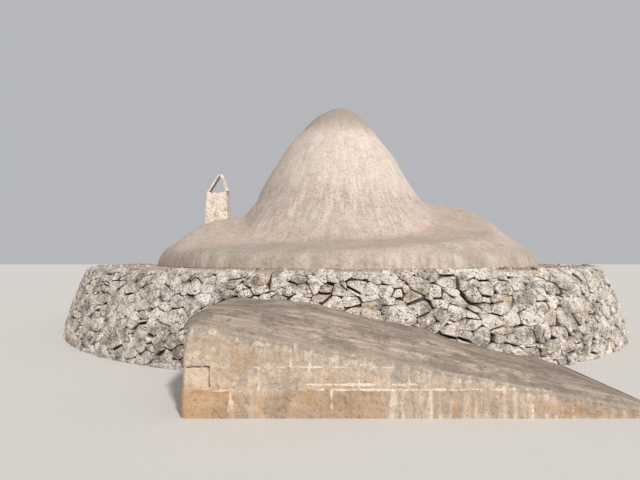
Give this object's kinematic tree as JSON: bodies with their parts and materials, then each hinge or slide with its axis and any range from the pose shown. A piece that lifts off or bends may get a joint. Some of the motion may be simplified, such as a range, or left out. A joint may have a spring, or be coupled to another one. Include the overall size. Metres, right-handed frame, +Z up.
{
  "type": "trullo house",
  "caption": "Dry-stone trullo with a battered drum and terrace, a rendered dome and bell cone over a corbelled round room, a small chimney and a block ramp.",
  "frame": {"origin": "on the drum's axis at ground level, under the room floor", "axes": "+Z up, -Y towards the front with the ramp, +Y towards the entrance, +X to the right as seen from the front"},
  "size_m": [12.64, 14.0645, 5.47],
  "materials": {
    "dry_stone": "rough pale limestone rubble laid dry, grey lichen and ochre patches",
    "rubble_core": "small rubble and earth",
    "vault_stone": "flat limestone slabs laid dry",
    "lime_render": "old lime render, streaked and spotted with lichen",
    "lime_screed": "worn lime screed, grey-brown with pale rubbed edges",
    "floor_stone": "worn limestone paving",
    "tufa_blocks": "weathered ochre tufa blocks with pale mortar",
    "pale_plaster": "rough cream plaster over stone"
  },
  "bodies": {
    "root": {"drum_wall_back_left": "dry_stone", "drum_wall_left_back": "dry_stone", "drum_wall_left_front": "dry_stone", "drum_wall_front_left": "dry_stone", "drum_wall_front_right": "dry_stone", "drum_wall_right_front": "dry_stone", "drum_wall_right_back": "dry_stone", "drum_wall_back_right": "dry_stone", "core_left": "rubble_core", "core_front": "rubble_core", "core_right": "rubble_core", "core_back_left": "rubble_core", "core_back_right": "rubble_core", "vault_ring_1": "vault_stone", "vault_ring_2": "vault_stone", "vault_ring_3": "vault_stone", "vault_ring_4": "vault_stone", "vault_ring_5": "vault_stone", "vault_ring_6": "vault_stone", "cone_cap": "vault_stone", "haunch_left": "rubble_core", "haunch_front": "rubble_core", "haunch_right": "rubble_core", "haunch_back": "rubble_core", "cone_render": "lime_render", "dome_render": "lime_render", "terrace_screed": "lime_screed", "room_floor": "floor_stone", "threshold": "floor_stone", "jamb_left": "tufa_blocks", "jamb_right": "tufa_blocks", "lintel": "tufa_blocks", "passage_roof": "vault_stone", "portal_wall": "pale_plaster", "chimney_front": "pale_plaster", "chimney_back": "pale_plaster", "chimney_cheek_left": "pale_plaster", "chimney_cheek_right": "pale_plaster", "chimney_cap_left": "pale_plaster", "chimney_cap_right": "pale_plaster", "ramp_base_course": "tufa_blocks", "ramp_front_wall": "tufa_blocks", "ramp_end_wall": "tufa_blocks", "ramp_fill": "rubble_core", "ramp_screed": "lime_screed"}
  },
  "joints": []
}
